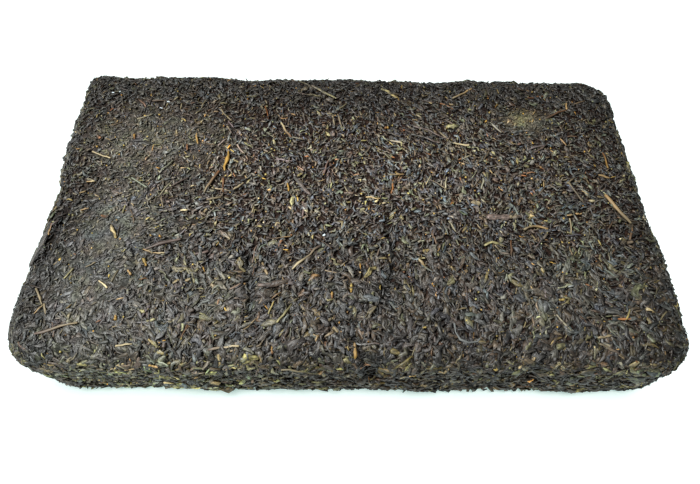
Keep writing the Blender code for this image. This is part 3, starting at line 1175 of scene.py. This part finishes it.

# %% [markdown]
# ## Laid one by one
#
# A random draw gives the general look, and what makes this brick this one is laid one by one: the stem that
# catches the eye, the twig with a fork, the leaf that lifts at the edge. A row holds X, Y and Z of a piece's
# middle, its direction seen from above, its length, width and bend, in millimetres and degrees, and the
# colours of its two ends.

# %% Stems and tips laid one by one
STEMS_BY_HAND = (
    (-75, 24, 50, -93, 14, 1.9, 6, "amber", "amber"),
    (-82, 9, 50, -117, 16, 1.6, 0, "rust", "tan"),
    (-150, 27, 50, -21, 12, 1.0, 5, "tan", "straw"),
    (-152, 8, 50, 13, 4, 1.1, 0, "honey", "straw"),
    (-151, -11, 50, 21, 4, 1.1, 0, "honey", "honey"),
    (-95, 41, 50, -74, 9, 1.1, 5, "honey", "amber"),
    (-133, 41, 50, -78, 4, 1.4, 0, "amber", "rust"),
    (-80, 61, 50, -48, 13, 0.9, 0, "tan", "tan"),
    (-41, 49, 50, -61, 13, 1.4, 0, "straw", "rust"),
    (-76, 48, 50, -53, 6, 1.2, 0, "tan", "mauve"),
    (-95, -11, 50, 1, 4, 1.3, 0, "straw", "straw"),
    (-79, -3, 50, 11, 8, 1.2, 5, "tan", "tan"),
    (-129, -11, 50, -104, 5, 1.1, 10, "hay", "olive"),
    (-100, 34, 50, -81, 4, 1.1, 0, "rust", "rust"),
    (-66, 6, 50, -146, 7, 1.0, 0, "tan", "tan"),
    (-75, 7, 50, -83, 9, 1.2, 0, "rust", "rust"),
    (-102, 8, 50, 43, 14, 0.9, 0, "mauve", "mauve"),
    (-37, 6, 50, -79, 5, 1.2, 0, "amber", "amber"),
    (-24, -41, 50, 42, 21, 1.7, 0, "straw", "mauve"),
    (-110, -38, 50, -27, 6, 1.1, 0, "honey", "tan"),
    (-104, -39, 50, 1, 6, 1.0, 0, "honey", "straw"),
    (-103, -33, 50, 20, 19, 1.5, 0, "mauve", "mauve"),
    (-40, -29, 50, 3, 13, 0.8, 12, "mauve", "honey"),
    (-110, -45, 50, -60, 5, 1.7, 0, "gold", "amber"),
    (-117, -51, 50, -51, 3, 1.2, 0, "honey", "honey"),
    (-160, -65, 50, -56, 11, 1.2, 0, "tan", "tan"),
    (-158, -72, 50, -122, 6, 1.1, 0, "tan", "honey"),
    (-155, -72, 50, -59, 6, 1.0, 0, "tan", "tan"),
    (-129, -58, 50, -34, 6, 1.0, 0, "straw", "straw"),
    (-148, -52, 50, 62, 7, 0.9, 15, "hay", "olive"),
    (-138, -47, 50, 30, 5, 1.0, 0, "tan", "tan"),
    (-112, -90, 50, 4, 8, 1.1, 0, "straw", "straw"),
    (-63, -91, 50, 4, 15, 1.5, 0, "mauve", "straw"),
    (-34, -73, 50, 56, 12, 1.3, 8, "hay", "olive"),
    (-41, -70, 50, -107, 7, 1.1, 10, "gold", "hay"),
    (-10, -63, 50, -89, 3, 1.5, 0, "amber", "rust"),
    (-119, -76, 50, -77, 2, 1.5, 0, "amber", "amber"),
    (-147, -82, 50, 17, 20, 1.4, 0, "mauve", "tan"),
    (-39, -92, 50, -86, 3, 1.4, 0, "amber", "rust"),
    (73, 82, 50, 25, 15, 1.7, 0, "tan", "honey"),
    (132, 66, 50, 31, 17, 1.5, 0, "umber", "rust"),
    (141, 74, 50, 76, 7, 1.0, 0, "honey", "honey"),
    (58, 46, 50, -51, 7, 1.1, 0, "tan", "tan"),
    (68, 39, 50, -15, 9, 1.2, 0, "straw", "straw"),
    (154, -7, 50, -60, 21, 2.3, 0, "honey", "tan"),
    (132, 4, 50, -62, 16, 1.3, 0, "tan", "umber"),
    (131, 13, 50, 38, 7, 1.1, 0, "tan", "umber"),
    (155, 28, 50, -90, 12, 1.4, 0, "rust", "amber"),
    (104, -20, 50, 0, 14, 1.3, -75, "tan", "honey"),
    (130, -11, 50, 0, 3, 1.2, 0, "honey", "honey"),
    (125, -12, 50, 10, 3, 1.1, 0, "honey", "tan"),
    (27, 16, 50, 6, 8, 1.1, 0, "tan", "honey"),
    (51, 9, 50, -40, 11, 0.8, 0, "mauve", "tan"),
    (57, 6, 50, 9, 5, 0.7, 0, "tan", "mauve"),
    (22, 52, 50, 0, 2, 1.8, 0, "rust", "amber"),
    (117, 37, 50, 32, 10, 1.2, 0, "mauve", "mauve"),
    (88, -34, 50, -99, 10, 1.1, 0, "rust", "umber"),
    (38, -43, 50, -56, 5, 1.5, 0, "straw", "honey"),
    (41, -47, 50, -50, 6, 1.3, 0, "moss", "silver"),
    (58, -84, 50, -21, 22, 1.2, 150, "silver", "silver"),
    (110, -64, 50, 0, 2, 1.5, 0, "gold", "gold"),
    (129, -90, 50, -31, 10, 1.3, 0, "tan", "mauve"),
    (128, -84, 50, 10, 7, 1.3, 0, "tan", "tan"),
    (143, -72, 50, -116, 6, 1.2, 0, "hay", "gold"),
    (2, -92, 50, -90, 8, 1.6, 0, "honey", "amber"),
    (0, -57, 50, -90, 2, 1.3, 0, "gold", "gold"),
    (0, -60, 50, -90, 2, 1.3, 0, "gold", "amber"),
    (8, -88, 50, -3, 12, 0.8, 14, "silver", "mauve"),
    (37, -80, 50, 0, 2, 1.3, 0, "gold", "gold"),
    (72, -99, 45, 0, 2, 1.3, 0, "gold", "gold"),
    (-97, -98, 45, -20, 4, 1.4, 0, "amber", "honey"),
    (-25, -100, 43, 0, 19, 0.8, 0, "tan", "olive"),
    # Painted glints: tiny pale bluish-white bits standing for sparkles of light.
    (-117, 70, 50, 0, 1, 1.0, 0, "frost", "frost"),
    (-121, 65, 50, 0, 1, 0.8, 0, "frost", "frost"),
    (-155, 79, 50, 0, 1, 0.9, 0, "frost", "frost"),
    (-151, 80, 50, 0, 1, 0.8, 0, "frost", "frost"),
    (-15, -27, 50, 0, 1, 1.2, 0, "frost", "frost"),
)
print(len(STEMS_BY_HAND), "stems and tips laid by hand")

# %% Leaves laid one by one
LEAVES_BY_HAND = (
    # The leaf that lifts at the left edge: soot to charcoal, part its own colour and part painted shade on
    # its side.
    (-170, -32, 47, -98, 26, 4.2, 8, "soot", "charcoal"),
    (-167, -24, 48, -102, 7, 1.2, 0, "rust", "amber"),
    (-30, 90, 50, -42, 16, 1.5, 0, "olive", "umber"),
    (-18, 82, 50, -40, 20, 1.6, 0, "umber", "hay"),
    (-26, 79, 50, -12, 12, 1.6, 0, "mauve", "hay"),
    (162, 85, 46, 60, 6, 1.6, 40, "umber", "silver"),
    (-131, -26, 50, -59, 9, 1.8, 25, "tan", "gold"),
    (-63, 36, 50, -43, 6, 1.5, 0, "hay", "moss"),
    (-155, 41, 50, -44, 3, 2.4, 0, "umber", "rust"),
    (-138, -16, 50, 0, 3, 2.6, 0, "rust", "umber"),
    (-29, 7, 50, -52, 15, 2.4, 0, "slate", "mauve"),
    (-70, -27, 50, -45, 8, 2.6, 0, "mauve", "tan"),
    (-41, -57, 50, 14, 15, 3.2, 0, "mauve", "umber"),
    (-41, -78, 50, 18, 7, 4.2, 0, "olive", "drab"),
    (-88, -47, 50, -65, 9, 1.4, 20, "hay", "olive"),
    (-84, -52, 50, -70, 8, 1.3, -20, "olive", "hay"),
    (-69, -51, 50, -53, 7, 2.2, 0, "slate", "drab"),
    (-107, -72, 50, -30, 4, 1.6, 0, "moss", "hay"),
    (-101, -77, 50, 20, 4, 1.5, 0, "hay", "moss"),
    (-98, -89, 50, -40, 5, 1.6, 0, "gold", "moss"),
    (-93, -94, 50, -20, 5, 1.5, 0, "hay", "gold"),
    (64, 54, 50, 0, 6, 3.8, 0, "hay", "moss"),
    (72, -4, 50, -10, 5, 3.2, 0, "tan", "straw"),
    (81, 12, 50, -92, 11, 1.6, 0, "olive", "umber"),
    (85, -13, 50, 1, 13, 4.2, 0, "mauve", "mauve"),
    (94, -13, 50, 0, 6, 3.0, 0, "tan", "mauve"),
    (25, 83, 50, -43, 13, 2.2, 0, "hay", "gold"),
    (26, 47, 50, -23, 10, 1.5, 0, "umber", "umber"),
    (50, 49, 50, -29, 24, 1.4, 0, "mauve", "mauve"),
    (46, 44, 50, -32, 18, 1.3, 0, "slate", "mauve"),
    (79, -31, 50, 2, 11, 1.8, -55, "hay", "olive"),
    (72, -51, 50, -112, 8, 1.9, 10, "gold", "olive"),
    (99, -70, 50, -80, 10, 3.0, 0, "silver", "moss"),
    (11, -64, 50, 0, 9, 4.2, 0, "steel", "steel"),
    (172, -51, 43, 20, 5, 2.0, 0, "silver", "slate"),
)
print(len(LEAVES_BY_HAND), "leaves laid by hand")

# %% Laying one by one
HAND_STATIONS = 6
HAND_FULLNESS = 0.8
HAND_ROLL = 0.2


def by_hand(name, seed, rows, outline, height, lift):
    """One piece for each table, its colours running evenly from the start of each row's path to the end.

    The direction is given in X and Y, and the heading is its angle between the face's own two directions.
    Height is a share of the half width.
    """
    random = np.random.default_rng(seed)
    x, y, z, direction, length, width, bend, starts, ends = zip(*rows)
    places, normals = onto_form(np.stack([x, y, z], axis=1) * MM)
    direction, bend = np.radians(direction), np.radians(bend)
    count, stations = len(rows), HAND_STATIONS
    still = np.zeros(count)
    pointing = np.stack([np.cos(direction), np.sin(direction), still], axis=1)
    first, second = face_axes(normals)
    heading = np.arctan2((pointing * second).sum(axis=1), (pointing * first).sum(axis=1))
    path = lay(
        places,
        normals,
        heading,
        length=np.array(length) * MM,
        bend=bend,
        lift=still + lift,
        tilt=still,
        arch=still,
        stations=stations,
        random=random,
        wobble=STIFF_WOBBLE,
    )
    half = np.array(width)[:, None] / 2 * MM * swell(count, stations, HAND_FULLNESS, random)
    share = np.linspace(0, 1, stations)[:, None]
    starts = np.array([COLOURS[colour] for colour in starts])[:, None]
    ends = np.array([COLOURS[colour] for colour in ends])[:, None]
    tints = (1 - share) * starts + share * ends
    roll = random.normal(0, HAND_ROLL, (count, 1)) + np.zeros((1, stations))
    return leaves(name, path, half, half * height, outline, roll, tints, random, STIFF_CRUMPLE)


own_stems = by_hand(
    "stems_by_hand", seed=201, rows=STEMS_BY_HAND, outline=ROUND, height=0.85, lift=0.5 * MM
)
own_leaves = by_hand(
    "leaves_by_hand", seed=202, rows=LEAVES_BY_HAND, outline=FLATTENED, height=0.35, lift=0.4 * MM
)

# %% [markdown]
# ## Shaders in expressions
#
# A node tree is easier to read as arithmetic. The class Amount wraps a socket, so that `0.5 + 0.3 * grain`
# adds the Math nodes for it. The class Finish holds a material, and one method makes any other node from its
# settings and its sockets.

# %% Node helpers
class Amount:
    """A number that changes over the surface: a socket whose arithmetic adds Math nodes."""

    def __init__(self, finish, socket):
        self.finish = finish
        self.socket = socket

    def combined(self, operation, first, second):
        return self.finish.node("ShaderNodeMath", {"operation": operation}, {0: first, 1: second})

    def __add__(self, other):
        return self.combined("ADD", self, other)

    def __radd__(self, other):
        return self.combined("ADD", other, self)

    def __sub__(self, other):
        return self.combined("SUBTRACT", self, other)

    def __rsub__(self, other):
        return self.combined("SUBTRACT", other, self)

    def __mul__(self, other):
        return self.combined("MULTIPLY", self, other)

    def __rmul__(self, other):
        return self.combined("MULTIPLY", other, self)

    def __pow__(self, other):
        return self.combined("POWER", self, other)


class Finish:
    """A material, with one method that adds any node to it."""

    def __init__(self, name):
        self.material = bpy.data.materials.new(name)
        self.material.use_nodes = True
        self.tree = self.material.node_tree
        self.shader = self.tree.nodes["Principled BSDF"]

    def node(self, kind, settings, sockets, output=0):
        """Adds a node: its settings first, then its sockets' values or links."""
        made = self.tree.nodes.new(kind)
        for name, value in settings.items():
            setattr(made, name, value)
        for name, value in sockets.items():
            self.feed(made.inputs[name], value)
        return Amount(self, made.outputs[output])

    def feed(self, socket, value):
        """Links an Amount to a socket, or sets a plain value on it."""
        if isinstance(value, Amount):
            self.tree.links.new(value.socket, socket)
        else:
            socket.default_value = value

    def finished(self, **sockets):
        """Feeds the shader's own sockets and returns the material."""
        for name, value in sockets.items():
            self.feed(self.shader.inputs[name.replace("_", " ")], value)
        return self.material


def scaled(finish, vector, factor):
    """A colour or a vector times a number, which may change over the surface."""
    return finish.node("ShaderNodeVectorMath", {"operation": "SCALE"}, {0: vector, "Scale": factor})


trial_finish = Finish("trial")
mixed = 0.5 + 0.3 * trial_finish.node("ShaderNodeValue", {}, {})
print("0.5 + 0.3 * grain ends in a Math node set to", mixed.socket.node.operation)
bpy.data.materials.remove(trial_finish.material)


# %% [markdown]
# ## The finish of leaf
#
# A dry leaf is dull, with a faint waxy sheen on its high places, and it is wrinkled lengthwise. The wrinkles
# are noise that is squeezed across the leaf and stretched along it, read from the map in millimetres. They
# lift the surface and roughen the sheen. The same noise paints light and shade into the colour: it is about
# a half on average, so twice the noise, raised to a power, keeps the middle tones, paints the hollows darker
# as shade and the ridges paler as light.
# Stems are smoother and finely striped, so their stripes are narrower and the power is low.

# %% Leaf material
WRINKLE_DETAIL = 3.0
SMOOTHEST_LEAF = 0.35
ROUGHER_ON_RIDGES = 0.30


def wrinkled(name, along, across, sheen, depth, shade_power):
    """Leaf or stem: each point's tint times (2 * noise) to the power contrast.

    Along and across say how many wrinkles there are for each millimetre, and depth how high they stand.
    """
    finish = Finish(name)
    place = finish.node("ShaderNodeUVMap", {"uv_map": LEAF_MAP}, {})
    squeezed = finish.node("ShaderNodeMapping", {}, {"Vector": place, "Scale": (along, across, 1.0)})
    wrinkles = {"Vector": squeezed, "Scale": 1.0, "Detail": WRINKLE_DETAIL}
    grain = finish.node("ShaderNodeTexNoise", {}, wrinkles)
    tint = finish.node("ShaderNodeAttribute", {"attribute_name": TINT}, {})
    # Painted shade and light: the colour follows the wrinkles' height, darker in hollows, paler on ridges.
    colour = scaled(finish, tint, (2.0 * grain) ** shade_power)
    bump = finish.node("ShaderNodeBump", {}, {"Height": grain, "Strength": 1.0, "Distance": depth})
    roughness = SMOOTHEST_LEAF + ROUGHER_ON_RIDGES * grain
    finish.shader.inputs["Specular IOR Level"].default_value = sheen
    return finish.finished(Base_Color=colour, Roughness=roughness, Normal=bump)


leaf_finish = wrinkled("dry_leaf", along=0.35, across=0.85, sheen=0.70, depth=0.7 * MM, shade_power=2.7)
stem_finish = wrinkled("woody_stem", along=0.15, across=4.0, sheen=0.40, depth=0.06 * MM, shade_power=0.8)
print("finishes", leaf_finish.name, stem_finish.name)

# %% [markdown]
# ## The finish of the core
#
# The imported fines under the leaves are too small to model. Cells about a millimetre across, warped by noise
# and each of its own brightness, stand for them, and the distance to the nearest edge between cells raises
# their middles. The random number is squared, so that most cells are dark and a few are pale.

# %% Core material
CELLS_PER_METRE = 900.0
WARPS_PER_METRE = 260.0
WARP_DETAIL = 2.0
WARP = 6.0 * MM
DARKEST_CELL = 0.35
PALER_CELLS = 1.6
CELL_HEIGHT = 0.5 * MM
FINES_ROUGHNESS = 0.75
FINES_SHEEN = 0.15


def packed_fines():
    """Each point's tint times DARKEST_CELL + PALER_CELLS * pick squared: each cell picks from 0 to 1."""
    finish = Finish("packed_fines")
    place = finish.node("ShaderNodeTexCoord", {}, {}, "Object")
    broad = {"Vector": place, "Scale": WARPS_PER_METRE, "Detail": WARP_DETAIL}
    warp = finish.node("ShaderNodeTexNoise", {}, broad, "Color")
    push = scaled(finish, warp, WARP)
    moved = finish.node("ShaderNodeVectorMath", {"operation": "ADD"}, {0: place, 1: push})
    shards = {"Vector": moved, "Scale": CELLS_PER_METRE, "Randomness": 1.0}
    edge = finish.node("ShaderNodeTexVoronoi", {"feature": "DISTANCE_TO_EDGE"}, shards)
    cell = finish.node("ShaderNodeTexVoronoi", {"feature": "F1"}, shards, "Color")
    pick = finish.node("ShaderNodeSeparateColor", {}, {"Color": cell})
    tint = finish.node("ShaderNodeAttribute", {"attribute_name": TINT}, {})
    colour = scaled(finish, tint, DARKEST_CELL + PALER_CELLS * pick * pick)
    bump = finish.node("ShaderNodeBump", {}, {"Height": edge, "Strength": 1.0, "Distance": CELL_HEIGHT})
    finish.shader.inputs["Specular IOR Level"].default_value = FINES_SHEEN
    return finish.finished(Base_Color=colour, Roughness=FINES_ROUGHNESS, Normal=bump)


core_finish = packed_fines()
print("core finish", core_finish.name, "with", len(core_finish.node_tree.nodes), "nodes")

# %% [markdown]
# ## Putting it together
#
# Every piece rides on the one body that the brick has. The core stands in for the plain solid, which stays
# for collision. Leaves take the leaf slot, and stems, tips and specks the stem slot.

# %% Ride, slot and replace
for piece in (core, rolled, pressed, chips, short, curled, folded, flakes, twists, bits, own_leaves):
    piece.data.materials.append(core_finish if piece is core else leaf_finish)
    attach(piece, "root")
for piece in (stems, tips, bloom, own_stems):
    piece.data.materials.append(stem_finish)
    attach(piece, "root")
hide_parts(NODE)
print("the core stands in for", NODE)

# %% [markdown]
# ## The floor
#
# The brick lies on plain white. The floor glows faintly as well, blue-green, which is the colour of the
# narrow shadow at the brick's foot.

# %% Floor
FLOOR_SIDE = 6.0
TABLE_COLOUR = (0.7, 0.7, 0.7, 1.0)
TABLE_ROUGHNESS = 0.9
GLOW = 0.45
GLOW_COLOUR = (0.68, 1.0, 0.92, 1.0)

around = ((-1, -1), (1, -1), (1, 1), (-1, 1))
floor_corners = [(x * FLOOR_SIDE / 2, y * FLOOR_SIDE / 2, 0) for x, y in around]
floor_mesh = bpy.data.meshes.new("floor")
floor_mesh.from_pydata(floor_corners, [], [(0, 1, 2, 3)])
table_finish = Finish("white_table").finished(
    Base_Color=TABLE_COLOUR,
    Roughness=TABLE_ROUGHNESS,
    Emission_Color=GLOW_COLOUR,
    Emission_Strength=GLOW,
)
floor_mesh.materials.append(table_finish)
floor = new_object("floor", floor_mesh)
print("floor", FLOOR_SIDE, "m wide")

# %% [markdown]
# ## The light
#
# One large soft lamp above and to the left gives the leaves their light and shade, and a dim even surround
# fills the shadows in. Such a soft lamp would throw a wide grey shadow, while on a white table in daylight
# there is only a narrow one at the foot. So light linking makes the lamp skip the floor, and a broad
# overhead sun light nothing but the floor. Its shadow is short, since it comes straight down.

# %% Lamps and surround
SURROUND = 0.18
KEY_POWER = 12.6
KEY_SIZE = 0.3
KEY_COLOUR = (0.985, 1.0, 0.975)
KEY_PLACE = Vector((-0.38, -0.06, 0.74))
OVERHEAD_POWER = 4.0
OVERHEAD_SPREAD = math.radians(40)


def new_light(name, kind, power, floor_state):
    """A light that lights only the floor where floor_state is INCLUDE, and all but the floor for EXCLUDE."""
    light = new_object(name, bpy.data.lights.new(name, kind))
    light.data.energy = power
    receivers = bpy.data.collections.new(name + "_receivers")
    receivers.objects.link(floor)
    receivers.collection_objects[0].light_linking.link_state = floor_state
    light.light_linking.receiver_collection = receivers
    return light


lamp = new_light("soft_key", "AREA", KEY_POWER, "EXCLUDE")
lamp.data.size = KEY_SIZE
lamp.data.color = KEY_COLOUR
lamp.matrix_world = Matrix.Translation(KEY_PLACE) @ KEY_PLACE.to_track_quat("Z", "Y").to_matrix().to_4x4()
overhead = new_light("overhead", "SUN", OVERHEAD_POWER, "INCLUDE")
overhead.data.angle = OVERHEAD_SPREAD

world = bpy.data.worlds.new("surround")
world.use_nodes = True
background = world.node_tree.nodes["Background"]
background.inputs["Color"].default_value = (1.0, 1.0, 1.0, 1.0)
background.inputs["Strength"].default_value = SURROUND
bpy.context.scene.world = world
bpy.context.scene.view_settings.view_transform = "Standard"
print("lamp", [round(x, 2) for x in KEY_PLACE], "surround", SURROUND)
